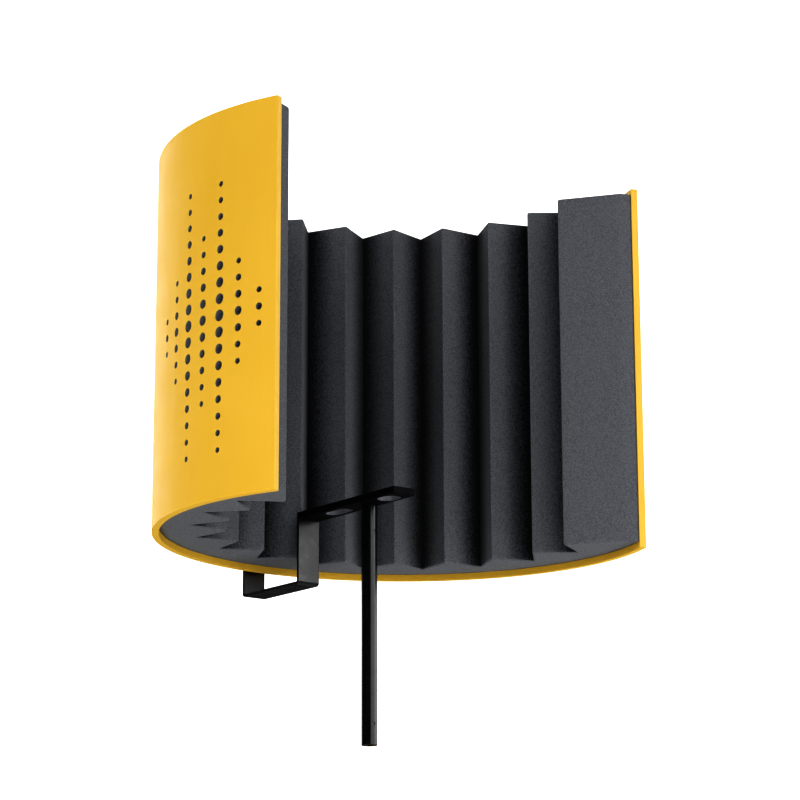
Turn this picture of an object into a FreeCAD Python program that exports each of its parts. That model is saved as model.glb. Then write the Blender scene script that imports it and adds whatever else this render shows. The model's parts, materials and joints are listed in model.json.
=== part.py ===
"""Portable vocal shield on a stand rod: a curved, perforated shell lined with
wedge foam, hung on a bent flat-bar bracket whose arm swivels on the rod.

Frame: millimetres, +Z up, origin at the centre of the rod's lower end.
+Y points to the closed back of the shield, -Y to its open front.
Angles round the shield are measured from +Y, positive towards +X.
"""
import FreeCAD, Part
import math
import os

V = FreeCAD.Vector
UP = V(0, 0, 1)
ACROSS = V(1, 0, 0)
BACK = V(0, 1, 0)

# ---- driving dimensions -------------------------------------------------
# shell and foam, a circular arc in plan
SHELL_RADIUS = 250.0          # outer face
SHELL_THICK = 7.0
SHELL_HEIGHT = 380.0
SHELL_HALF_ANGLE = 113.5
SHELL_CENTRE_Y = -60.0
SHELL_BOTTOM = 200.0
SHELL_CORNER = 1.2            # rounding of the four panel corners
SHELL_EDGE = 0.6              # rounding of the outer face's edges
BOND_THICK = 0.8              # tape and scrim between shell and foam
FOAM_RECESS = 6.3             # foam stops short of the shell's top and bottom
FOAM_HALF_ANGLE = 113.4
FOAM_END_RADIUS = 229.0       # front of the foam where it is cut off at each end
WEDGE_COUNT = 13
WEDGE_PITCH = 17.05           # degrees
CREST_RADIUS = 176.5
VALLEY_RADIUS = 213.0

# perforated field, one on each wing
COLUMN_HALF_ROWS = (1, 3, 8, 5, 8, 3, 1)      # rows above and below the centre row
HOLE_COLUMN_PITCH = 5.7       # degrees
HOLE_ROW_PITCH = 16.2
HOLE_FIELD_ANGLE = 92.0
HOLE_FIELD_UP = 176.0         # centre of the field above the shell's lower edge
HOLE_MIN_RADIUS = 2.3
HOLE_MAX_RADIUS = 5.6
SCRIM_MARGIN_ANGLE = 2.5
SCRIM_MARGIN = 12.0

# foam tape between shell and foam
TAPE_ANGLES = (-60, -36, -12, 12, 36, 60)
TAPE_HALF_ANGLE = 3.0
TAPE_MARGIN = 12.0

# stand rod and its two inserts
ROD_RADIUS = 8.0
ROD_BORE_RADIUS = 6.0
ROD_LENGTH = 242.0
ROD_CHAMFER = 0.5
THREAD_RADIUS = 4.76          # 3/8-16 UNC, major radius
SOCKET_DEPTH = 16.0
INSERT_LENGTH = 26.0
PLUG_LENGTH = 36.0
PIN_RADIUS = 1.5
PIN_SHORT = 0.4               # pins stop below the rod's surface
BASE_PIN_HEIGHT = 21.0        # above the rod's lower end
TOP_PIN_RISE = 8.0            # above the plug's lower end

# pivot: a journal on the plug, a nylon bush in the arm, a flush screw on top
JOURNAL_RADIUS = 5.0
JOURNAL_GAP = 0.06            # running fit in the bush
BUSH_RADIUS = 6.2
BUSH_FLANGE_RADIUS = 7.8
BUSH_FLANGE_THICK = 1.0
PIVOT_HEAD_RADIUS = 8.0
PIVOT_HEAD_THICK = 2.9
PIVOT_HEAD_SPACE = 0.6        # round the head
PIVOT_END_PLAY = 0.1
PIVOT_SCREW_RADIUS = 3.0      # M6
PIVOT_SCREW_LENGTH = 20.0
PIVOT_HEX = 5.0               # across flats
PIVOT_HEX_DEPTH = 1.9

# bracket
BAR_WIDTH = 26.0
STRAP_THICK = 3.0
STRAP_BEND = 0.5              # inside bend radius
STRAP_CORNER = 6.0
STRAP_UNDER = 175.0           # underside of the lower run
INNER_LEG_FRONT = 103.0
OUTER_LEG_FRONT = 200.8
OUTER_LEG_TOP = 425.0
ARM_WIDTH = 27.0
ARM_THICK = 7.0
ARM_TIP = -57.8
ARM_EDGE = 0.8
REAR_SLOT = (32.5, 68.5, 16.0)      # front end, rear end, width
FRONT_SLOT = (-46.0, -19.5, 20.0)
TENON_WIDTH = 12.0

# countersunk screws through the inner leg into the arm (M3)
ARM_SCREW_X = (-9.2, 9.2)
ARM_SCREW_RADIUS = 1.5
ARM_SCREW_HEAD_RADIUS = 2.9
ARM_SCREW_HEAD_DEPTH = 1.7
ARM_SCREW_LENGTH = 21.0
ARM_SCREW_HEX = 2.0
ARM_SCREW_HEX_DEPTH = 1.2

# M5 bolts through the strap, saddle, shell and backing plate
BOLT_HEIGHTS = (248.0, 278.0, 368.0, 398.0)
BOLT_RADIUS = 2.5
BOLT_HOLE_RADIUS = 2.75
BOLT_HEAD_RADIUS = 4.75
BOLT_HEAD_THICK = 2.75
BOLT_HEAD_ROUND = 1.8
BOLT_HEX = 3.0
BOLT_HEX_DEPTH = 1.75
BOLT_PAST_NUT = 2.0
BOLT_WASHER_RADIUS = 5.0
BOLT_WASHER_THICK = 1.0
NUT_HEX = 8.0
NUT_THICK = 5.0
SADDLE_WIDTH = 40.0
SADDLE_HEIGHT = 54.0
SADDLE_CORNER = 6.0
PLATE_WIDTH = 34.0
PLATE_THICK = 2.0
PLATE_MARGIN = 12.0           # plate past each bolt
POCKET_DEPTH = 16.0           # in the foam, over a plate and its nuts
POCKET_SPACE = 1.0

FIT_GAP = 0.02                # screws and washers in one body
SEAT_GAP = 0.06               # flat faces against the shell's curve
PAST = 1.0                    # how far a cutter runs past the face it opens

# ---- derived places -----------------------------------------------------
SHELL_TOP = SHELL_BOTTOM + SHELL_HEIGHT
SHELL_INNER = SHELL_RADIUS - SHELL_THICK
SHELL_BACK_Y = SHELL_CENTRE_Y + SHELL_RADIUS
SHELL_BACK_INNER_Y = SHELL_CENTRE_Y + SHELL_INNER
FOAM_BACK = SHELL_INNER - BOND_THICK
FOAM_BOTTOM = SHELL_BOTTOM + FOAM_RECESS
FOAM_TOP = SHELL_TOP - FOAM_RECESS
HOLE_FIELD_Z = SHELL_BOTTOM + HOLE_FIELD_UP
ARM_UNDER = ROD_LENGTH + BUSH_FLANGE_THICK
ARM_TOP = ARM_UNDER + ARM_THICK
ARM_MIDDLE = ARM_UNDER + ARM_THICK / 2
HEAD_SEAT = ARM_TOP - PIVOT_END_PLAY - PIVOT_HEAD_THICK
HEAD_POCKET = HEAD_SEAT - PIVOT_END_PLAY
PIN_HEIGHTS = (BASE_PIN_HEIGHT, ROD_LENGTH - PLUG_LENGTH + TOP_PIN_RISE)
STRAP_BACK_Y = OUTER_LEG_FRONT + STRAP_THICK
WASHER_BACK_Y = STRAP_BACK_Y + BOLT_WASHER_THICK
LEG_BACK_Y = INNER_LEG_FRONT + STRAP_THICK
NUT_BACK_Y = SHELL_BACK_INNER_Y - PLATE_THICK - SEAT_GAP
NUT_FRONT_Y = NUT_BACK_Y - NUT_THICK
PLATE_SPANS = [(low - PLATE_MARGIN, high + PLATE_MARGIN)
               for low, high in (BOLT_HEIGHTS[:2], BOLT_HEIGHTS[2:])]


# ---- helpers ------------------------------------------------------------
def box(x0, x1, y0, y1, z0, z1):
    return Part.makeBox(x1 - x0, y1 - y0, z1 - z0, V(x0, y0, z0))


def upright(radius, z0, z1):
    """Cylinder on the rod's axis."""
    return Part.makeCylinder(radius, z1 - z0, V(0, 0, z0), UP)


def along_y(radius, y0, y1, x, z):
    return Part.makeCylinder(radius, y1 - y0, V(x, y0, z), BACK)


def on_arc(radius, angle, z=0.0):
    """Point at an angle round the shield's own axis."""
    a = math.radians(angle)
    return V(radius * math.sin(a), SHELL_CENTRE_Y + radius * math.cos(a), z)


def outward(angle):
    return on_arc(1, angle).sub(on_arc(0, angle))


def arc(radius, a0, a1):
    middle = (a0 + a1) / 2
    return Part.Arc(on_arc(radius, a0), on_arc(radius, middle), on_arc(radius, a1)).toShape()


def arc_panel(r_out, r_in, a0, a1, z0, z1):
    """Curved panel between two radii, two angles and two heights."""
    side_1 = Part.makeLine(on_arc(r_out, a1), on_arc(r_in, a1))
    side_0 = Part.makeLine(on_arc(r_in, a0), on_arc(r_out, a0))
    wire = Part.Wire([arc(r_out, a0, a1), side_1, arc(r_in, a1, a0), side_0])
    panel = Part.Face(wire).extrude(V(0, 0, z1 - z0))
    panel.translate(V(0, 0, z0))
    return panel


def hexagon(across_flats, start, length, axis):
    """Hexagonal prism from a point along an axis."""
    radius = across_flats / 2 / math.cos(math.pi / 6)
    points = []
    for index in range(7):
        a = math.radians(60 * index)
        points.append(V(radius * math.cos(a), radius * math.sin(a), 0))
    prism = Part.Face(Part.makePolygon(points)).extrude(V(0, 0, length))
    prism.Placement = FreeCAD.Placement(start, FreeCAD.Rotation(UP, axis))
    return prism


def slot_cutter(front, rear, width):
    """Round-ended slot along Y, right through the arm."""
    half = width / 2
    low = ARM_UNDER - PAST
    high = ARM_TOP + PAST
    middle = box(-half, half, front + half, rear - half, low, high)
    ends = [Part.makeCylinder(half, high - low, V(0, y, low), UP) for y in (front + half, rear - half)]
    return middle.fuse(ends)


def edges_where(shape, test):
    return [edge for edge in shape.Edges if test(edge)]


def is_circle(edge):
    return edge.Curve.TypeId == "Part::GeomCircle"


def runs_along(edge, axis):
    """True for a straight edge parallel to the axis."""
    if edge.Curve.TypeId != "Part::GeomLine":
        return False
    return abs(abs(edge.tangentAt(edge.FirstParameter).dot(axis)) - 1) < 1e-6


def save(name, shapes):
    """Write one node; a list is a group of separate solids."""
    listed = shapes if isinstance(shapes, list) else [shapes]
    solids = [solid for shape in listed for solid in shape.Solids]
    for solid in solids:
        if not solid.isValid():
            raise ValueError(name + " has an invalid solid")
    node = solids[0] if len(solids) == 1 else Part.makeCompound(solids)
    node.exportStep("parts/" + name + ".step")
    volume = sum(solid.Volume for solid in solids) / 1000
    print("%-20s %2d solids %9.1f cm3" % (name, len(solids), volume))


# ---- shell --------------------------------------------------------------
def field_holes(side):
    """Plain graded dot field; yields angle, height and radius of each hole."""
    middle = len(COLUMN_HALF_ROWS) // 2
    tallest = max(COLUMN_HALF_ROWS)
    for column, half_rows in enumerate(COLUMN_HALF_ROWS):
        angle = side * (HOLE_FIELD_ANGLE + (column - middle) * HOLE_COLUMN_PITCH)
        largest = math.sqrt(half_rows / tallest)
        for row in range(-half_rows, half_rows + 1):
            share = largest * (1 - abs(row) / (half_rows + 1))
            radius = HOLE_MIN_RADIUS + (HOLE_MAX_RADIUS - HOLE_MIN_RADIUS) * share
            yield angle, HOLE_FIELD_Z + row * HOLE_ROW_PITCH, radius


def hole_cutters():
    cutters = []
    for side in (-1, 1):
        for angle, z, radius in field_holes(side):
            start = on_arc(SHELL_INNER - PAST, angle, z)
            cutters.append(Part.makeCylinder(radius, SHELL_THICK + 2 * PAST, start, outward(angle)))
    return cutters


def bolt_holes(y0, y1):
    return [along_y(BOLT_HOLE_RADIUS, y0 - PAST, y1 + PAST, 0, z) for z in BOLT_HEIGHTS]


def make_shell():
    panel = arc_panel(SHELL_RADIUS, SHELL_INNER, -SHELL_HALF_ANGLE, SHELL_HALF_ANGLE,
                      SHELL_BOTTOM, SHELL_TOP)
    radial = [outward(angle) for angle in (-SHELL_HALF_ANGLE, SHELL_HALF_ANGLE)]
    corners = edges_where(panel, lambda edge: any(runs_along(edge, axis) for axis in radial))
    panel = panel.makeFillet(SHELL_CORNER, corners)
    outer_face = [face for face in panel.Faces if face.Surface.TypeId == "Part::GeomCylinder"
                  and abs(face.Surface.Radius - SHELL_RADIUS) < 1e-6][0]
    panel = panel.makeFillet(SHELL_EDGE, outer_face.Edges)
    return panel.cut(hole_cutters() + bolt_holes(SHELL_BACK_INNER_Y, SHELL_BACK_Y))


# ---- foam, bonding and scrim --------------------------------------------
def foam_front():
    """Zigzag of crests and valleys, cut off square at each end of the shell."""
    ends = WEDGE_COUNT - 1
    front = [on_arc(FOAM_END_RADIUS, -FOAM_HALF_ANGLE)]
    for step in range(-ends, ends + 1):
        radius = VALLEY_RADIUS if step % 2 else CREST_RADIUS
        front.append(on_arc(radius, step * WEDGE_PITCH / 2))
    front.append(on_arc(FOAM_END_RADIUS, FOAM_HALF_ANGLE))
    return front


def plate_pocket(z0, z1):
    half = PLATE_WIDTH / 2 + POCKET_SPACE
    return box(-half, half, SHELL_BACK_INNER_Y - POCKET_DEPTH, SHELL_BACK_INNER_Y + PAST,
               z0 - POCKET_SPACE, z1 + POCKET_SPACE)


def make_foam():
    front = foam_front()
    zigzag = [Part.makeLine(p, q) for p, q in zip(front, front[1:])]
    left = Part.makeLine(on_arc(FOAM_BACK, -FOAM_HALF_ANGLE), front[0])
    right = Part.makeLine(front[-1], on_arc(FOAM_BACK, FOAM_HALF_ANGLE))
    back = arc(FOAM_BACK, FOAM_HALF_ANGLE, -FOAM_HALF_ANGLE)
    foam = Part.Face(Part.Wire([left] + zigzag + [right, back])).extrude(V(0, 0, FOAM_TOP - FOAM_BOTTOM))
    foam.translate(V(0, 0, FOAM_BOTTOM))
    return foam.cut([plate_pocket(z0, z1) for z0, z1 in PLATE_SPANS])


def bond_panel(a0, a1, z0, z1):
    """Skin that fills the gap between the shell and the foam."""
    return arc_panel(SHELL_INNER, FOAM_BACK, a0, a1, z0, z1)


def make_tape():
    """Vertical strips of double-sided foam tape."""
    return [bond_panel(angle - TAPE_HALF_ANGLE, angle + TAPE_HALF_ANGLE,
                       FOAM_BOTTOM + TAPE_MARGIN, FOAM_TOP - TAPE_MARGIN) for angle in TAPE_ANGLES]


def make_scrim(side):
    """Black acoustic cloth behind one perforated field."""
    reach = (len(COLUMN_HALF_ROWS) // 2) * HOLE_COLUMN_PITCH + SCRIM_MARGIN_ANGLE
    height = max(COLUMN_HALF_ROWS) * HOLE_ROW_PITCH + SCRIM_MARGIN
    first, last = sorted((side * (HOLE_FIELD_ANGLE - reach), side * (HOLE_FIELD_ANGLE + reach)))
    return bond_panel(first, last, HOLE_FIELD_Z - height, HOLE_FIELD_Z + height)


# ---- rear fixing --------------------------------------------------------
def make_plate(z0, z1):
    """Curved load-spreading plate on the inside of the shell."""
    half = math.degrees(math.asin(PLATE_WIDTH / 2 / SHELL_INNER))
    plate = arc_panel(SHELL_INNER, SHELL_INNER - PLATE_THICK, -half, half, z0, z1)
    return plate.cut(bolt_holes(SHELL_BACK_INNER_Y - 2 * PLATE_THICK, SHELL_BACK_INNER_Y))


def make_saddle(z0, z1):
    """Moulded spacer, hollowed to the shell on one side and flat on the other."""
    half = SADDLE_WIDTH / 2
    low = (z0 + z1 - SADDLE_HEIGHT) / 2
    high = low + SADDLE_HEIGHT
    block = box(-half, half, SHELL_BACK_Y - SADDLE_CORNER, OUTER_LEG_FRONT, low, high)
    block = block.makeFillet(SADDLE_CORNER, edges_where(block, lambda edge: runs_along(edge, BACK)))
    seat = Part.makeCylinder(SHELL_RADIUS + SEAT_GAP, SADDLE_HEIGHT, V(0, SHELL_CENTRE_Y, low), UP)
    return block.cut([seat] + bolt_holes(SHELL_BACK_Y, OUTER_LEG_FRONT))


def make_bolt(z):
    """Button-head screw with a hexagon socket, head outside the strap."""
    head_back = WASHER_BACK_Y + BOLT_HEAD_THICK
    head = along_y(BOLT_HEAD_RADIUS, WASHER_BACK_Y, head_back, 0, z)
    rim = edges_where(head, lambda edge: is_circle(edge) and edge.BoundBox.YMin > head_back - PAST)
    head = head.makeFillet(BOLT_HEAD_ROUND, rim)
    shank = along_y(BOLT_RADIUS, NUT_FRONT_Y - BOLT_PAST_NUT, head_back - BOLT_HEX_DEPTH, 0, z)
    socket = hexagon(BOLT_HEX, V(0, head_back - BOLT_HEX_DEPTH, z), BOLT_HEX_DEPTH + PAST, BACK)
    return head.fuse(shank).cut(socket)


def make_bolt_washer(z):
    disc = along_y(BOLT_WASHER_RADIUS, STRAP_BACK_Y, WASHER_BACK_Y, 0, z)
    return disc.cut(along_y(BOLT_RADIUS + FIT_GAP, STRAP_BACK_Y - PAST, WASHER_BACK_Y + PAST, 0, z))


def make_lock_nut(z):
    body = hexagon(NUT_HEX, V(0, NUT_FRONT_Y, z), NUT_THICK, BACK)
    return body.cut(along_y(BOLT_RADIUS + FIT_GAP, NUT_FRONT_Y - PAST, NUT_BACK_Y + PAST, 0, z))


# ---- bracket ------------------------------------------------------------
def arm_screw(x, gap=0.0):
    """Countersunk screw along Y, head flush with the back of the inner leg."""
    radius = ARM_SCREW_RADIUS + gap
    shank = along_y(radius, LEG_BACK_Y - ARM_SCREW_LENGTH, LEG_BACK_Y, x, ARM_MIDDLE)
    cone_start = V(x, LEG_BACK_Y - ARM_SCREW_HEAD_DEPTH, ARM_MIDDLE)
    cone = Part.makeCone(radius, ARM_SCREW_HEAD_RADIUS + gap, ARM_SCREW_HEAD_DEPTH, cone_start, BACK)
    return shank.fuse(cone)


def make_arm_screw(x):
    start = V(x, LEG_BACK_Y - ARM_SCREW_HEX_DEPTH, ARM_MIDDLE)
    return arm_screw(x).cut(hexagon(ARM_SCREW_HEX, start, ARM_SCREW_HEX_DEPTH + PAST, BACK))


def make_strap():
    """Flat bar bent up the back, under the shell and up inside the foam."""
    half = BAR_WIDTH / 2
    low = STRAP_UNDER
    run = box(-half, half, INNER_LEG_FRONT, STRAP_BACK_Y, low, low + STRAP_THICK)
    inner = box(-half, half, INNER_LEG_FRONT, LEG_BACK_Y, low, ARM_TOP)
    outer = box(-half, half, OUTER_LEG_FRONT, STRAP_BACK_Y, low, OUTER_LEG_TOP)
    strap = run.fuse([inner, outer]).removeSplitter()
    for level, radius in ((low, STRAP_BEND + STRAP_THICK), (low + STRAP_THICK, STRAP_BEND)):
        bends = edges_where(strap, lambda edge: runs_along(edge, ACROSS)
                            and abs(edge.BoundBox.ZMin - level) < 1e-3)
        strap = strap.makeFillet(radius, bends)
    top_corners = edges_where(strap, lambda edge: runs_along(edge, BACK)
                              and edge.BoundBox.ZMin > OUTER_LEG_TOP - PAST)
    strap = strap.makeFillet(STRAP_CORNER, top_corners)
    notch = box(-TENON_WIDTH / 2, TENON_WIDTH / 2, INNER_LEG_FRONT - PAST, LEG_BACK_Y + PAST,
                ARM_UNDER, ARM_TOP + PAST)
    screws = [arm_screw(x, FIT_GAP) for x in ARM_SCREW_X]
    return strap.cut(bolt_holes(OUTER_LEG_FRONT, STRAP_BACK_Y) + [notch] + screws)


def make_arm():
    """Flat bar carrying the shield, slotted before and behind the pivot."""
    half = ARM_WIDTH / 2
    bar = box(-half, half, ARM_TIP, INNER_LEG_FRONT, ARM_UNDER, ARM_TOP)
    rounded = edges_where(bar, lambda edge: runs_along(edge, BACK) or edge.BoundBox.YMax < ARM_TIP + PAST)
    bar = bar.makeFillet(ARM_EDGE, rounded)
    tenon = box(-TENON_WIDTH / 2, TENON_WIDTH / 2, INNER_LEG_FRONT - PAST, LEG_BACK_Y, ARM_UNDER, ARM_TOP)
    bar = bar.fuse(tenon).removeSplitter()
    cuts = [slot_cutter(*slot) for slot in (REAR_SLOT, FRONT_SLOT)]
    cuts.append(upright(BUSH_RADIUS, ARM_UNDER - PAST, ARM_TOP + PAST))
    cuts.append(upright(PIVOT_HEAD_RADIUS + PIVOT_HEAD_SPACE, HEAD_POCKET, ARM_TOP + PAST))
    return bar.cut(cuts + [arm_screw(x, FIT_GAP) for x in ARM_SCREW_X])


# ---- pivot and rod ------------------------------------------------------
def make_bush():
    """Flanged nylon bush: the arm rests on its flange and turns on its bore."""
    flange = upright(BUSH_FLANGE_RADIUS, ROD_LENGTH, ARM_UNDER)
    sleeve = upright(BUSH_RADIUS, ARM_UNDER - PAST, HEAD_POCKET - PIVOT_END_PLAY)
    bore = upright(JOURNAL_RADIUS + JOURNAL_GAP, ROD_LENGTH - PAST, ARM_TOP)
    return flange.fuse(sleeve).removeSplitter().cut(bore)


def make_pivot_screw():
    """Low-head screw that holds the arm down on the journal."""
    head_top = HEAD_SEAT + PIVOT_HEAD_THICK
    head = upright(PIVOT_HEAD_RADIUS, HEAD_SEAT, head_top)
    rim = edges_where(head, lambda edge: is_circle(edge) and edge.BoundBox.ZMin > HEAD_SEAT + PAST)
    head = head.makeChamfer(ROD_CHAMFER, rim)
    shank = upright(PIVOT_SCREW_RADIUS, HEAD_SEAT - PIVOT_SCREW_LENGTH, head_top - PIVOT_HEX_DEPTH)
    socket = hexagon(PIVOT_HEX, V(0, 0, head_top - PIVOT_HEX_DEPTH), PIVOT_HEX_DEPTH + PAST, UP)
    return head.fuse(shank).cut(socket)


def pin_cutters():
    return [along_y(PIN_RADIUS, -ROD_RADIUS - PAST, ROD_RADIUS + PAST, 0, z) for z in PIN_HEIGHTS]


def make_top_plug():
    """Turned plug in the rod's upper end, carrying the journal."""
    body = upright(ROD_BORE_RADIUS, ROD_LENGTH - PLUG_LENGTH, ROD_LENGTH)
    journal = upright(JOURNAL_RADIUS, ROD_LENGTH - PAST, HEAD_SEAT)
    thread = upright(PIVOT_SCREW_RADIUS + FIT_GAP, HEAD_SEAT - PIVOT_SCREW_LENGTH - PAST, HEAD_SEAT + PAST)
    return body.fuse(journal).removeSplitter().cut([thread] + pin_cutters())


def make_insert():
    """Threaded insert in the rod's lower end."""
    body = upright(ROD_BORE_RADIUS, 0, INSERT_LENGTH)
    return body.cut([upright(THREAD_RADIUS, -PAST, SOCKET_DEPTH)] + pin_cutters())


def make_rod():
    tube = upright(ROD_RADIUS, 0, ROD_LENGTH)
    tube = tube.makeChamfer(ROD_CHAMFER, edges_where(tube, is_circle))
    return tube.cut([upright(ROD_BORE_RADIUS, -PAST, ROD_LENGTH + PAST)] + pin_cutters())


def make_pin(z):
    """Rolled spring pin through the rod and an insert."""
    half = ROD_RADIUS - PIN_SHORT
    pin = along_y(PIN_RADIUS, -half, half, 0, z)
    return pin.cut(along_y(PIN_RADIUS / 2, -half - PAST, half + PAST, 0, z))


# ---- write the nodes ----------------------------------------------------
os.makedirs("parts", exist_ok=True)

save("stand_rod", make_rod())
save("base_insert", make_insert())
save("top_plug", make_top_plug())
save("pivot_screw", make_pivot_screw())
save("spring_pins", [make_pin(z) for z in PIN_HEIGHTS])
save("pivot_bush", make_bush())
save("arm_bar", make_arm())
save("arm_screws", [make_arm_screw(x) for x in ARM_SCREW_X])
save("hanger_strap", make_strap())
for label, span in zip(("lower", "upper"), PLATE_SPANS):
    save(label + "_saddle", make_saddle(*span))
    save(label + "_backing_plate", make_plate(*span))
save("strap_bolts", [make_bolt(z) for z in BOLT_HEIGHTS])
save("bolt_washers", [make_bolt_washer(z) for z in BOLT_HEIGHTS])
save("lock_nuts", [make_lock_nut(z) for z in BOLT_HEIGHTS])
save("outer_shell", make_shell())
save("left_scrim", make_scrim(-1))
save("right_scrim", make_scrim(1))
save("foam_tape", make_tape())
save("foam_liner", make_foam())
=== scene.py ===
"""Portable vocal shield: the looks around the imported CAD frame.

Metres, in the frame's own axes: +Z up the rod, +Y to the closed back, -Y to
the open front. The shell's arc is centred on a vertical line in front of the
rod, at ARC_Y; angles round it are measured from +Y, positive towards +X.
"""

import json
import math

import bmesh
import bpy
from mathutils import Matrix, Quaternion, Vector, noise


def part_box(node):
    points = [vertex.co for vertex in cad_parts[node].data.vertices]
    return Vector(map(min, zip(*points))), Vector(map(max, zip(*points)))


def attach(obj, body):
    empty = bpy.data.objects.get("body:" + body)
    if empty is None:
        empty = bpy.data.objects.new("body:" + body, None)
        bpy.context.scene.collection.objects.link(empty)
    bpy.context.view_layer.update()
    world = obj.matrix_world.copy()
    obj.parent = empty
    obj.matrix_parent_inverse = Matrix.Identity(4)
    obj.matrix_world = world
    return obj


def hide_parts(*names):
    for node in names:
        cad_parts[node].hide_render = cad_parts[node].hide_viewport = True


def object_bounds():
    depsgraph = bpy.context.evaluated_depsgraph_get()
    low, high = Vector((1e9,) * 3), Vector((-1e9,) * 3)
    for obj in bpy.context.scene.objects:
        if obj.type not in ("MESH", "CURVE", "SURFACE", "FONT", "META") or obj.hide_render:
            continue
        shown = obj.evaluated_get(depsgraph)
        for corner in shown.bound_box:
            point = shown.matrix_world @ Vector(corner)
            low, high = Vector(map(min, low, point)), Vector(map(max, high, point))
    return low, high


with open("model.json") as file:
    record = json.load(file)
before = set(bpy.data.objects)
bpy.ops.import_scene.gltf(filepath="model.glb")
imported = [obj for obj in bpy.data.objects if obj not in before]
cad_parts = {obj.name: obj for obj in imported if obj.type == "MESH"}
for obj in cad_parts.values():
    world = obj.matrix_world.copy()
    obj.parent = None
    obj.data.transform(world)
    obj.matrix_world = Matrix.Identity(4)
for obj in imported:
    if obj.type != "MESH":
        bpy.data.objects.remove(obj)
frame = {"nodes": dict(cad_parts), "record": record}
cad_low, cad_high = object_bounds()

MM = 0.001
SHIELD = "shield"

# ---- places taken from the frame ----------------------------------------
shell_low, shell_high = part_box("outer_shell")
foam_low, foam_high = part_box("foam_liner")
SHELL_RADIUS = (shell_high[0] - shell_low[0]) / 2
ARC_Y = shell_high[1] - SHELL_RADIUS
SHELL_THICK = 7.0 * MM
BOND = 0.8 * MM             # tape and scrim between shell and foam
SHELL_INNER = SHELL_RADIUS - SHELL_THICK
FOAM_BACK = SHELL_INNER - BOND

# ---- foam ---------------------------------------------------------------
WEDGES = 13
WEDGE_PITCH = math.radians(17.05)
CREST_RADIUS = 176.5 * MM
VALLEY_RADIUS = 213.0 * MM
END_RADIUS = 229.0 * MM
END_ANGLE = math.radians(113.4)
CREST_ROUND = 1.6 * MM
VALLEY_ROUND = 0.9 * MM
FLANK_STEPS = 12
FOAM_ROWS = 92
FOAM_LAYERS = 9
CORNER_STEPS = 4
FOAM_EDGE = 1.3 * MM
FOAM_UNEVEN = 0.45 * MM
FOAM_SUNK = 0.3 * FOAM_UNEVEN
SLOW_WAVES = 14.0           # of the hand-cut surface, per metre
QUICK_WAVES = 85.0
QUICK_SHARE = 0.35
QUICK_START = Vector((7.0, 3.0, 5.0))
# how strong the painted shade in the foam's valleys gets
VALLEY_SHADE = 0.93
FOAM_PORE = (0.118, 0.123, 0.134)
FOAM_STRUT = (0.212, 0.220, 0.238)
FOAM_EVEN = (0.158, 0.163, 0.177)
# colour of the painted shade at the bottom of the foam's valleys
FOAM_PAINTED_SHADE = (0.012, 0.0125, 0.014)
POCKET_DEPTH = 16.0 * MM
POCKET_SPACE = 1.0 * MM
plate_boxes = [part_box("lower_backing_plate"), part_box("upper_backing_plate")]

# ---- scrims -------------------------------------------------------------
SCRIM_CLEAR = 0.05 * MM
SCRIM_COLUMNS = 56
SCRIM_ROWS = 96

# ---- shell --------------------------------------------------------------
YELLOW_LOW = (0.765, 0.490, 0.074)
YELLOW_HIGH = (0.795, 0.520, 0.084)
YELLOW_FLECK = (0.84, 0.57, 0.12)
# grey given to the walls of the perforations
HOLE_WALL_GREY = (0.25, 0.255, 0.26)
FIELD_ANGLE = math.radians(92.0)
FIELD_MIDDLE = shell_low[2] + 176.0 * MM
FIELD_REACH = 165.0 * MM    # hole walls are grey this far above and below the middle
FIELD_FRONT = ARC_Y - 92.0 * MM
FIELD_REAR = ARC_Y + 80.0 * MM
FIELD_FADE = 1.0 * MM

# ---- bracket, arm and rod -----------------------------------------------
BLACK_LOW = (0.0075, 0.0078, 0.0090)
BLACK_HIGH = (0.0130, 0.0134, 0.0150)
RUBBED = (0.075, 0.077, 0.082)
SLOT_REACH = 10.6 * MM
SLOT_PAST = 1.0 * MM        # how far the painted highlight on a slot's walls runs past its ends
SLOT_FADE = 0.5 * MM
# pale grey on the arm's slot walls: a painted highlight
SLOT_HIGHLIGHT_LOW = (0.170, 0.175, 0.190)
SLOT_HIGHLIGHT_HIGH = (0.240, 0.246, 0.262)
WALL_FACING = (0.30, 0.20)  # how nearly square to a face its holes' walls stand
EDGE_TURN = (0.95, 0.78)    # cosines of the turn from an unworn to a fully worn edge
BEVEL_SAMPLES = 4

# ---- stage --------------------------------------------------------------
FLOOR_Z = -0.85
FLOOR_SIZE = 40.0
FLOOR_SQUARES = 24
FLOOR_LOW = (0.795, 0.795, 0.79)
FLOOR_HIGH = (0.805, 0.805, 0.80)
FLOOR_GLOW = 0.55           # only to the camera: keeps the far floor pale
CAMERA_PLACE = Vector((-1.6079, -2.1146, -0.3181))
CAMERA_AZIMUTH = math.radians(-37.921)
CAMERA_ELEVATION = math.radians(-14.130)
CAMERA_ROLL = math.radians(-0.166)
CAMERA_LENS = 121.36
CAMERA_SENSOR = 36.0
# name, azimuth, elevation, distance, width, height, power, lights, mirrored in gloss
LIGHTS = (
    ("front_box", 0, 10, 2.6, 1.2, 1.6, 14.4, True, False),
    ("front_high_box", 10, 50, 2.6, 1.4, 1.4, 7.5, True, False),
    ("front_left_box", -30, 12, 2.6, 1.2, 1.6, 5.1, True, False),
    ("left_box", -70, 14, 2.6, 1.4, 1.8, 19.5, True, False),
    ("back_left_box", -142, 12, 2.6, 1.0, 2.0, 19.0, True, False),
    ("back_box", 180, 14, 2.6, 1.4, 1.8, 13.5, True, True),
    ("right_box", 100, 14, 2.6, 1.2, 1.8, 16.0, True, False),
    ("low_left_box", -40, -50, 1.3, 1.4, 1.4, 5.5, True, False),
    ("low_right_box", 60, -50, 1.3, 1.4, 1.4, 7.0, True, False),
    ("front_card", 12, 12, 2.4, 2.6, 1.6, 30.0, False, True),
    ("right_card", 66, 12, 2.4, 2.6, 1.6, 36.0, False, True),
)


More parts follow.
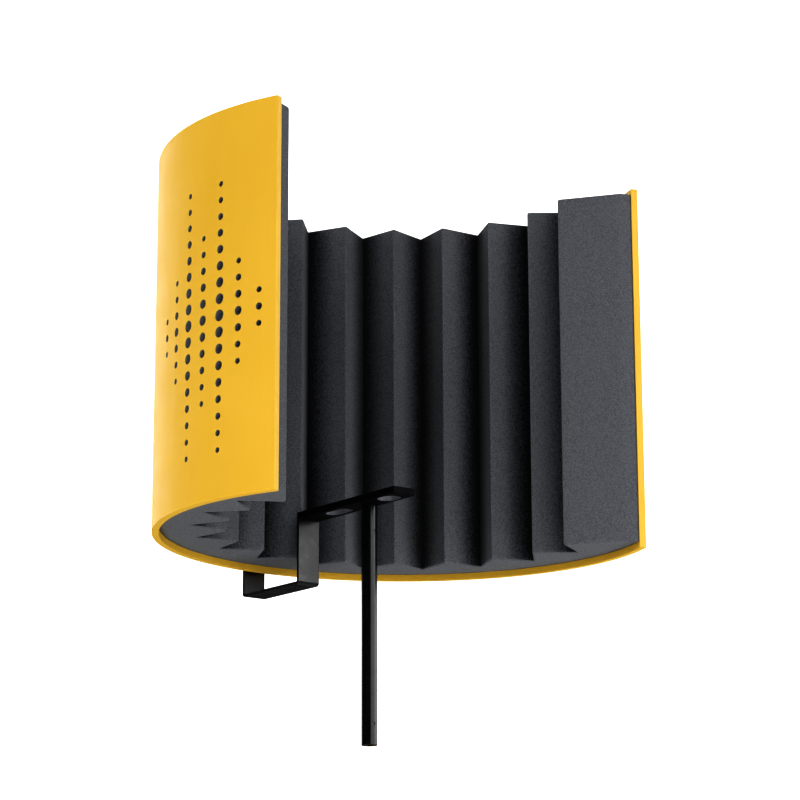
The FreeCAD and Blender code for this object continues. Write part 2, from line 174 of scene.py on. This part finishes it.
# ---- mesh helpers -------------------------------------------------------
def on_arc(radius, angle, z=0.0):
    """Point on an arc round the shield's own axis."""
    return Vector((radius * math.sin(angle), ARC_Y + radius * math.cos(angle), z))


def new_object(name, bm):
    """Smooth-shaded mesh object, made from a bmesh that is then freed."""
    bmesh.ops.recalc_face_normals(bm, faces=bm.faces)
    mesh = bpy.data.meshes.new(name)
    bm.to_mesh(mesh)
    bm.free()
    mesh.shade_smooth()
    piece = bpy.data.objects.new(name, mesh)
    bpy.context.scene.collection.objects.link(piece)
    return piece


def settle(piece, node):
    """Put a new piece on the shield, in a node's place and its finish."""
    piece.data.materials.append(FINISHES[node])
    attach(piece, SHIELD)
    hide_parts(node)


def grid_faces(bm, rows):
    """Quads between each row of vertices and the next."""
    for row, above in zip(rows, rows[1:]):
        for i in range(len(row) - 1):
            bm.faces.new((row[i], row[i + 1], above[i + 1], above[i]))


def softened(points, reach, steps):
    """Replace each inner corner of a 2D polyline by a short curve."""
    curve = [points[0]]
    for before, corner, after, cut in zip(points, points[1:], points[2:], reach):
        start = corner + (before - corner).normalized() * cut
        end = corner + (after - corner).normalized() * cut
        for step in range(steps + 1):
            t = step / steps
            curve.append(start * (1 - t) ** 2 + corner * 2 * t * (1 - t) + end * t ** 2)
    curve.append(points[-1])
    return curve


def divided(points, longest):
    """Add points to a polyline, so that no run in it is longer than this."""
    dense = [points[0]]
    for p, q in zip(points, points[1:]):
        count = max(1, math.ceil((q - p).length / longest))
        dense.extend(p.lerp(q, (i + 1) / count) for i in range(count))
    return dense


# ---- node helpers -------------------------------------------------------
class Nodes:
    """A material's node tree with short ways to add and join nodes."""

    def __init__(self, name):
        self.material = bpy.data.materials.new(name)
        self.material.use_nodes = True
        self.tree = self.material.node_tree
        self.shader = self.tree.nodes["Principled BSDF"]
        self.place = self.add("ShaderNodeTexCoord").outputs["Object"]

    def add(self, kind, **values):
        node = self.tree.nodes.new(kind)
        for key, value in values.items():
            if hasattr(node, key):
                setattr(node, key, value)
            else:
                node.inputs[key.replace("_", " ")].default_value = value
        return node

    def join(self, output, socket):
        self.tree.links.new(output, socket)

    def shade(self, **values):
        for key, value in values.items():
            self.shader.inputs[key.replace("_", " ")].default_value = value

    def noise(self, scale, detail=3.0, roughness=0.55, stretch=None):
        node = self.add("ShaderNodeTexNoise", Scale=scale, Detail=detail, Roughness=roughness)
        source = self.place
        if stretch:
            mapping = self.add("ShaderNodeMapping")
            mapping.inputs["Scale"].default_value = stretch
            self.join(self.place, mapping.inputs["Vector"])
            source = mapping.outputs["Vector"]
        self.join(source, node.inputs["Vector"])
        return node.outputs["Fac"]

    def cells(self, scale):
        node = self.add("ShaderNodeTexVoronoi", Scale=scale)
        self.join(self.place, node.inputs["Vector"])
        return node.outputs["Distance"]

    def remap(self, value, low, high, to_low=0.0, to_high=1.0):
        node = self.add("ShaderNodeMapRange")
        limits = {"From Min": low, "From Max": high, "To Min": to_low, "To Max": to_high}
        for key, number in limits.items():
            node.inputs[key].default_value = number
        self.join(value, node.inputs["Value"])
        return node.outputs["Result"]

    def ramp(self, value, *stops):
        node = self.add("ShaderNodeValToRGB")
        elements = node.color_ramp.elements
        while len(elements) < len(stops):
            elements.new(0.5)
        for element, (position, colour) in zip(elements, stops):
            element.position = position
            element.color = (*colour, 1.0)
        self.join(value, node.inputs["Fac"])
        return node.outputs["Color"]

    def mix(self, factor, first, second):
        node = self.add("ShaderNodeMix", data_type="RGBA")
        self.join(factor, node.inputs["Factor"])
        for socket, value in ((node.inputs[6], first), (node.inputs[7], second)):
            if isinstance(value, tuple):
                socket.default_value = (*value, 1.0)
            else:
                self.join(value, socket)
        return node.outputs[2]

    def math(self, operation, first, second=0.0):
        node = self.add("ShaderNodeMath", operation=operation)
        for socket, value in zip(node.inputs, (first, second)):
            if isinstance(value, float):
                socket.default_value = value
            else:
                self.join(value, socket)
        return node.outputs["Value"]

    def bump(self, height, depth, strength, edge=0.0):
        """Bump in metres, over normals rounded by the edge radius."""
        node = self.add("ShaderNodeBump", Strength=strength, Distance=depth)
        self.join(height, node.inputs["Height"])
        if edge:
            bevel = self.add("ShaderNodeBevel", samples=BEVEL_SAMPLES, Radius=edge)
            self.join(bevel.outputs["Normal"], node.inputs["Normal"])
        self.join(node.outputs["Normal"], self.shader.inputs["Normal"])

    def own_normal(self):
        """The face's normal in the object's own axes, so that it turns with the object."""
        turn = self.add("ShaderNodeVectorTransform", vector_type="NORMAL", convert_from="WORLD",
                        convert_to="OBJECT")
        self.join(self.add("ShaderNodeNewGeometry").outputs["True Normal"], turn.inputs["Vector"])
        return turn.outputs["Vector"]

    def edges(self, radius):
        """1 on worn edges and 0 on flat faces, from how far a bevel turns the normal."""
        bevel = self.add("ShaderNodeBevel", samples=BEVEL_SAMPLES, Radius=radius)
        geometry = self.add("ShaderNodeNewGeometry")
        dot = self.add("ShaderNodeVectorMath", operation="DOT_PRODUCT")
        self.join(bevel.outputs["Normal"], dot.inputs[0])
        self.join(geometry.outputs["Normal"], dot.inputs[1])
        return self.remap(dot.outputs["Value"], *EDGE_TURN)


# ---- materials ----------------------------------------------------------
def yellow_shell():
    """Satin moulded panel: faint flow mottle, orange peel and grey walls in its holes."""
    m = Nodes("yellow_shell_satin")
    body = m.ramp(m.noise(9.0, 4.0), (0.30, YELLOW_LOW), (0.70, YELLOW_HIGH))
    fleck = m.remap(m.noise(650.0, 2.0), 0.35, 0.75, 0.0, 0.08)
    skin = m.mix(fleck, body, YELLOW_FLECK)
    m.join(m.mix(hole_walls(m), skin, HOLE_WALL_GREY), m.shader.inputs["Base Color"])
    m.join(m.remap(m.noise(38.0), 0.3, 0.7, 0.46, 0.56), m.shader.inputs["Roughness"])
    m.shade(Coat_Weight=0.03, Coat_Roughness=0.25, Specular_IOR_Level=0.20)
    m.bump(m.noise(420.0, 2.0), 0.06 * MM, 0.5, edge=0.7 * MM)
    return m.material


def hole_walls(m):
    """1 on the walls of the perforations, where the normal is square to the panel's own."""
    apart = m.add("ShaderNodeSeparateXYZ")
    m.join(m.place, apart.inputs["Vector"])
    from_axis = m.add("ShaderNodeCombineXYZ")
    m.join(apart.outputs["X"], from_axis.inputs["X"])
    m.join(m.math("SUBTRACT", apart.outputs["Y"], ARC_Y), from_axis.inputs["Y"])
    outward = m.add("ShaderNodeVectorMath", operation="NORMALIZE")
    m.join(from_axis.outputs["Vector"], outward.inputs[0])
    facing = m.add("ShaderNodeVectorMath", operation="DOT_PRODUCT")
    m.join(outward.outputs["Vector"], facing.inputs[0])
    m.join(m.own_normal(), facing.inputs[1])
    square = m.remap(m.math("ABSOLUTE", facing.outputs["Value"]), *WALL_FACING)
    height = m.math("ABSOLUTE", m.math("SUBTRACT", apart.outputs["Z"], FIELD_MIDDLE))
    inside_height = m.remap(height, FIELD_REACH, FIELD_REACH - FIELD_FADE)
    behind_front = m.remap(apart.outputs["Y"], FIELD_FRONT, FIELD_FRONT + FIELD_FADE)
    before_rear = m.remap(apart.outputs["Y"], FIELD_REAR, FIELD_REAR - FIELD_FADE)
    inside_length = m.math("MULTIPLY", behind_front, before_rear)
    return m.math("MULTIPLY", m.math("MULTIPLY", square, inside_height), inside_length)


def powder_coat(name, rough, peel, specular, slots=()):
    """Black powder coat: orange peel, dust, edges rubbed paler and a painted highlight on the slot
    walls.
    """
    m = Nodes(name)
    dust = m.ramp(m.noise(60.0, 5.0), (0.40, BLACK_LOW), (0.72, BLACK_HIGH))
    patchy = m.remap(m.noise(140.0, 4.0), 0.42, 0.62, 0.0, 0.35)
    wear_and_slot_highlight = m.mix(m.math("MULTIPLY", m.edges(0.9 * MM), patchy), dust, RUBBED)
    roughness = m.remap(m.noise(90.0), 0.3, 0.7, rough - 0.04, rough + 0.05)
    if slots:
        # painted highlight: streaked pale grey on the slot walls
        highlight_streaks = m.noise(220.0, 3.0, stretch=(1.0, 1.0, 0.1))
        painted_slot_highlight = m.ramp(highlight_streaks, (0.3, SLOT_HIGHLIGHT_LOW), (0.7, SLOT_HIGHLIGHT_HIGH))
        wear_and_slot_highlight = m.mix(slot_walls(m, slots), wear_and_slot_highlight, painted_slot_highlight)
    m.join(wear_and_slot_highlight, m.shader.inputs["Base Color"])
    m.join(roughness, m.shader.inputs["Roughness"])
    m.shade(Specular_IOR_Level=specular)
    m.bump(m.noise(1100.0, 2.0), peel, 0.6, edge=0.6 * MM)
    return m.material


def slot_walls(m, slots):
    """1 on the upright walls inside the arm's slots, where the highlight is painted, 0 on its own
    sides.
    """
    apart = m.add("ShaderNodeSeparateXYZ")
    m.join(m.place, apart.inputs["Vector"])
    normal = m.add("ShaderNodeSeparateXYZ")
    m.join(m.own_normal(), normal.inputs["Vector"])
    upright = m.remap(m.math("ABSOLUTE", normal.outputs["Z"]), *WALL_FACING)
    inside = m.remap(m.math("ABSOLUTE", apart.outputs["X"]), SLOT_REACH, SLOT_REACH - SLOT_FADE)
    walls = 0.0
    for front, rear in slots:
        along = m.math("ABSOLUTE", m.math("SUBTRACT", apart.outputs["Y"], (front + rear) / 2))
        reach = (rear - front) / 2 + SLOT_PAST
        walls = m.math("MAXIMUM", walls, m.remap(along, reach + SLOT_FADE, reach))
    return m.math("MULTIPLY", walls, m.math("MULTIPLY", upright, inside))


def slot_mounts():
    """Front and rear end of each slot, from the record's mounts."""
    ends = []
    for mount in frame["record"]["mounts"]:
        if mount["name"].endswith("_slot"):
            half = mount["dims"]["slot_length_mm"] * MM / 2
            ends.append((mount["pos_m"][1] - half, mount["pos_m"][1] + half))
    return ends


def dark_zinc():
    """Blackened screws: metal with fine turning marks."""
    m = Nodes("black_zinc")
    tone = m.ramp(m.noise(300.0, 4.0), (0.35, (0.055, 0.056, 0.060)), (0.70, (0.105, 0.106, 0.112)))
    m.join(tone, m.shader.inputs["Base Color"])
    m.join(m.remap(m.noise(500.0), 0.3, 0.7, 0.28, 0.42), m.shader.inputs["Roughness"])
    m.shade(Metallic=1.0)
    m.bump(m.noise(1400.0, 2.0), 0.03 * MM, 0.5, edge=0.3 * MM)
    return m.material


def turned_brass():
    m = Nodes("turned_brass")
    tone = m.ramp(m.noise(120.0, 4.0), (0.35, (0.46, 0.30, 0.10)), (0.70, (0.60, 0.42, 0.16)))
    m.join(tone, m.shader.inputs["Base Color"])
    marks = m.noise(90.0, 3.0, stretch=(0.4, 0.4, 26.0))
    m.join(m.remap(marks, 0.3, 0.7, 0.24, 0.40), m.shader.inputs["Roughness"])
    m.shade(Metallic=1.0)
    m.bump(marks, 0.03 * MM, 0.5, edge=0.3 * MM)
    return m.material


def black_nylon():
    m = Nodes("black_nylon")
    tone = m.ramp(m.noise(80.0, 4.0), (0.35, (0.014, 0.014, 0.016)), (0.70, (0.024, 0.024, 0.026)))
    m.join(tone, m.shader.inputs["Base Color"])
    m.join(m.remap(m.noise(200.0), 0.3, 0.7, 0.52, 0.68), m.shader.inputs["Roughness"])
    m.bump(m.noise(900.0, 3.0), 0.08 * MM, 0.6, edge=0.8 * MM)
    return m.material


def acoustic_foam():
    """Charcoal open-cell foam: pale struts round dark pores, with painted shade towards the bottom
    of each valley.
    """
    m = Nodes("charcoal_foam")
    pores = m.cells(760.0)
    grain = m.noise(520.0, 4.0, 0.7)
    blotch = m.noise(26.0, 4.0)
    strut = m.remap(pores, 0.15, 0.70, 1.0, 0.0)
    speck = m.math("MULTIPLY", strut, m.remap(grain, 0.25, 0.75, 0.35, 1.25))
    cellular = m.ramp(speck, (0.0, FOAM_PORE), (0.9, FOAM_STRUT))
    soft = m.remap(blotch, 0.3, 0.7, 0.0, 0.35)
    surface = m.mix(soft, cellular, FOAM_EVEN)
    # painted shade: the foam's colour darkens towards each valley's bottom by the depth attribute,
    # with a ragged edge
    depth = m.add("ShaderNodeAttribute", attribute_name="depth").outputs["Fac"]
    ragged = m.math("ADD", depth, m.remap(grain, 0.30, 0.70, -0.20, 0.20))
    painted_valley_shade = m.remap(ragged, 0.30, 0.88, 0.0, VALLEY_SHADE)
    m.join(m.mix(painted_valley_shade, surface, FOAM_PAINTED_SHADE), m.shader.inputs["Base Color"])
    m.shade(Roughness=0.97, Sheen_Weight=0.10, Sheen_Roughness=0.6, Specular_IOR_Level=0.12)
    m.bump(speck, 0.5 * MM, 0.5)
    return m.material


def scrim_cloth():
    """Black acoustic cloth: a plain weave under a millimetre."""
    m = Nodes("scrim_weave")
    bands = []
    for axis in ("Z", "Y"):
        wave = m.add("ShaderNodeTexWave", bands_direction=axis, Scale=330.0)
        m.join(m.place, wave.inputs["Vector"])
        bands.append(wave.outputs["Fac"])
    weave = m.math("MAXIMUM", *bands)
    tone = m.ramp(weave, (0.2, (0.080, 0.082, 0.086)), (0.9, (0.200, 0.204, 0.212)))
    m.join(tone, m.shader.inputs["Base Color"])
    m.shade(Roughness=0.9, Sheen_Weight=0.2)
    m.bump(weave, 0.2 * MM, 0.8)
    return m.material


def white_tape():
    m = Nodes("foam_tape_white")
    tone = m.ramp(m.noise(300.0, 3.0), (0.35, (0.52, 0.52, 0.50)), (0.70, (0.64, 0.64, 0.61)))
    m.join(tone, m.shader.inputs["Base Color"])
    m.shade(Roughness=0.8)
    m.bump(m.noise(700.0), 0.1 * MM, 0.5)
    return m.material


BRACKET = powder_coat("bracket_powder_coat", rough=0.30, peel=0.03 * MM, specular=0.66)
ARM = powder_coat("arm_powder_coat", rough=0.62, peel=0.05 * MM, specular=0.08, slots=slot_mounts())
GLOSS = powder_coat("rod_gloss_black", rough=0.22, peel=0.01 * MM, specular=0.45)
ZINC = dark_zinc()
NYLON = black_nylon()
FINISHES = {
    "outer_shell": yellow_shell(),
    "stand_rod": GLOSS,
    "arm_bar": ARM,
    "hanger_strap": BRACKET,
    "pivot_bush": NYLON,
    "lower_saddle": NYLON,
    "upper_saddle": NYLON,
    "base_insert": turned_brass(),
    "foam_tape": white_tape(),
    "left_scrim": scrim_cloth(),
    "foam_liner": acoustic_foam(),
}
FINISHES["right_scrim"] = FINISHES["left_scrim"]
for name, node in frame["nodes"].items():
    material = FINISHES.get(name, ZINC)
    for material_slot in node.material_slots:
        material_slot.material = material


# ---- foam liner ---------------------------------------------------------
def foam_profile():
    """Front line of the foam in plan, from the left end to the right end."""
    corners = [on_arc(END_RADIUS, -END_ANGLE)]
    reach = []
    for step in range(1 - WEDGES, WEDGES):
        valley = step % 2
        corners.append(on_arc(VALLEY_RADIUS if valley else CREST_RADIUS, step * WEDGE_PITCH / 2))
        reach.append(VALLEY_ROUND if valley else CREST_ROUND)
    corners.append(on_arc(END_RADIUS, END_ANGLE))
    rounded = softened(corners, reach, CORNER_STEPS)
    return divided(rounded, (corners[2] - corners[1]).length / FLANK_STEPS)


def uneven(point):
    """Slow waviness of hand-cut foam, the same every run."""
    slow = noise.noise(point * SLOW_WAVES)
    quick = noise.noise(point * QUICK_WAVES + QUICK_START)
    return FOAM_UNEVEN * ((1 - QUICK_SHARE) * slow + QUICK_SHARE * quick)


def make_foam():
    """Closed block whose stations run round the arc, each from front to back."""
    front = foam_profile()
    low, high = foam_low[2], foam_high[2]
    angles = [math.atan2(p.x, p.y - ARC_Y) for p in front]
    last_valley = (WEDGES - 2) * WEDGE_PITCH / 2
    heights = [low + (high - low) * k / FOAM_ROWS for k in range(FOAM_ROWS + 1)]
    heights.insert(1, low + FOAM_EDGE)
    heights.insert(-1, high - FOAM_EDGE)
    bm = bmesh.new()
    depth = bm.verts.layers.float.new("depth")

    def front_vert(i, z):
        """On the wedges; its depth, which sets the painted valley shade, is 1 in a valley, 0 on a
        crest, a wing and the cut faces.
        """
        p = Vector((front[i].x, front[i].y, z))
        outward = on_arc(1, angles[i]) - on_arc(0, angles[i])
        on_cut = z in (low, high)
        inside = FOAM_EDGE if on_cut else 0.0
        vert = bm.verts.new(p + outward * (inside + max(0.0, uneven(p) + FOAM_SUNK)))
        # painted shade only up to just past the outermost valleys; the wings and the cut faces get
        # none
        if not on_cut and abs(angles[i]) < last_valley + WEDGE_PITCH / 8:
            radius = math.hypot(p.x, p.y - ARC_Y)
            vert[depth] = (radius - CREST_RADIUS) / (VALLEY_RADIUS - CREST_RADIUS)
        return vert

    def back_vert(i, z):
        """On the back, let in where a plate and its nuts stand."""
        p = on_arc(FOAM_BACK, angles[i], z)
        for plate_low, plate_high in plate_boxes:
            beside = abs(p.x) < plate_high[0] + POCKET_SPACE and p.y > ARC_Y
            if beside and plate_low[2] - POCKET_SPACE < z < plate_high[2] + POCKET_SPACE:
                p = on_arc(FOAM_BACK - POCKET_DEPTH, angles[i], z)
        return bm.verts.new(p)

    fronts = [[front_vert(i, z) for i in range(len(front))] for z in heights]
    backs = [[back_vert(i, z) for i in range(len(front))] for z in heights]
    grid_faces(bm, fronts)
    grid_faces(bm, backs)

    def through(f, b):
        """A front vertex, the new ones behind it, and its back vertex."""
        between = [bm.verts.new(f.co.lerp(b.co, k / FOAM_LAYERS)) for k in range(1, FOAM_LAYERS)]
        return [f, *between, b]

    bottom, top = ([through(f, b) for f, b in zip(fronts[row], backs[row])] for row in (0, -1))
    grid_faces(bm, bottom)
    grid_faces(bm, top)
    for end in (0, -1):
        inner_rows = zip(fronts[1:-1], backs[1:-1])
        lines = [through(front_row[end], back_row[end]) for front_row, back_row in inner_rows]
        grid_faces(bm, [bottom[end], *lines, top[end]])
    return new_object("wedge_foam", bm)


foam = make_foam()
settle(foam, "foam_liner")


# ---- scrims -------------------------------------------------------------
def make_scrim(side):
    """Acoustic cloth behind one perforated field, stretched round the inside of the shell."""
    node = side + "_scrim"
    low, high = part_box(node)
    front_angle = math.acos((low[1] - ARC_Y) / SHELL_INNER)
    rear_angle = 2 * FIELD_ANGLE - front_angle
    step = (rear_angle - front_angle) / SCRIM_COLUMNS
    angles = [front_angle + step * i for i in range(SCRIM_COLUMNS + 1)]
    sign = -1 if side == "left" else 1
    bm = bmesh.new()
    skins = []
    for radius in (SHELL_INNER - SCRIM_CLEAR, FOAM_BACK + SCRIM_CLEAR):
        rows = []
        for k in range(SCRIM_ROWS + 1):
            z = low[2] + (high[2] - low[2]) * k / SCRIM_ROWS
            rows.append([bm.verts.new(on_arc(radius, sign * angle, z)) for angle in angles])
        grid_faces(bm, rows)
        skins.append(rows)
    outer, inner = skins
    for line in (0, -1):
        grid_faces(bm, [outer[line], inner[line]])
        grid_faces(bm, [[row[line] for row in outer], [row[line] for row in inner]])
    scrim = new_object(side + "_scrim_cloth", bm)
    settle(scrim, node)


for side in ("left", "right"):
    make_scrim(side)


# ---- stage --------------------------------------------------------------
def make_floor():
    """Pale studio floor, well below the shield, with a faint grain, clear from beneath."""
    bm = bmesh.new()
    bmesh.ops.create_grid(bm, x_segments=FLOOR_SQUARES, y_segments=FLOOR_SQUARES, size=FLOOR_SIZE)
    floor = new_object("studio_floor", bm)
    floor.location.z = FLOOR_Z
    m = Nodes("pale_floor")
    tone = m.ramp(m.noise(3.0, 4.0), (0.3, FLOOR_LOW), (0.7, FLOOR_HIGH))
    m.join(tone, m.shader.inputs["Base Color"])
    m.shade(Roughness=0.85)
    m.join(tone, m.shader.inputs["Emission Color"])
    seen = m.add("ShaderNodeLightPath").outputs["Is Camera Ray"]
    m.join(m.remap(seen, 0.0, 1.0, 0.0, FLOOR_GLOW), m.shader.inputs["Emission Strength"])
    beneath = m.add("ShaderNodeNewGeometry").outputs["Backfacing"]
    m.join(m.math("SUBTRACT", 1.0, m.math("MULTIPLY", seen, beneath)), m.shader.inputs["Alpha"])
    floor.data.materials.append(m.material)


def make_world(seen, diffuse, mirrored):
    """White surround, dimmer for the light it gives and for what mirrors it."""
    world = bpy.data.worlds.new("studio_world")
    bpy.context.scene.world = world
    world.use_nodes = True
    tree = world.node_tree
    background = tree.nodes["Background"]
    background.inputs["Color"].default_value = (1.0, 1.0, 1.0, 1.0)
    rays = tree.nodes.new("ShaderNodeLightPath")
    by_gloss = tree.nodes.new("ShaderNodeMix")
    by_gloss.inputs["A"].default_value = diffuse
    by_gloss.inputs["B"].default_value = mirrored
    tree.links.new(rays.outputs["Is Glossy Ray"], by_gloss.inputs["Factor"])
    by_camera = tree.nodes.new("ShaderNodeMix")
    by_camera.inputs["B"].default_value = seen
    tree.links.new(rays.outputs["Is Camera Ray"], by_camera.inputs["Factor"])
    tree.links.new(by_gloss.outputs["Result"], by_camera.inputs["A"])
    tree.links.new(by_camera.outputs["Result"], background.inputs["Strength"])


def seen_from(azimuth, elevation):
    """Direction from the object to a viewer or a light, for angles in radians."""
    level = math.cos(elevation)
    return Vector((math.sin(azimuth) * level, -math.cos(azimuth) * level, math.sin(elevation)))


def softbox(name, azimuth, elevation, distance, width, height, power, lights, mirrored):
    """Area light aimed at the middle of the shield; it lights, is mirrored in gloss, or both."""
    middle = (Vector(cad_low) + Vector(cad_high)) / 2
    away = seen_from(math.radians(azimuth), math.radians(elevation))
    data = bpy.data.lights.new(name, "AREA")
    data.shape = "RECTANGLE"
    data.size = width
    data.size_y = height
    data.energy = power
    light = bpy.data.objects.new(name, data)
    light.location = middle + away * distance
    light.rotation_mode = "QUATERNION"
    light.rotation_quaternion = (-away).to_track_quat("-Z", "Y")
    light.visible_diffuse = lights
    light.visible_glossy = mirrored
    bpy.context.scene.collection.objects.link(light)


def make_camera():
    data = bpy.data.cameras.new("camera")
    data.lens = CAMERA_LENS
    data.sensor_width = CAMERA_SENSOR
    camera = bpy.data.objects.new("camera", data)
    camera.location = CAMERA_PLACE
    camera.rotation_mode = "QUATERNION"
    level = (-seen_from(CAMERA_AZIMUTH, CAMERA_ELEVATION)).to_track_quat("-Z", "Y")
    camera.rotation_quaternion = level @ Quaternion((0, 0, 1), CAMERA_ROLL)
    bpy.context.scene.collection.objects.link(camera)
    bpy.context.scene.camera = camera


bpy.context.scene.view_settings.view_transform = "Standard"
bpy.context.scene.view_settings.look = "Very High Contrast"
make_floor()
make_world(seen=1.0, diffuse=0.0, mirrored=0.04)
for light in LIGHTS:
    softbox(*light)
make_camera()
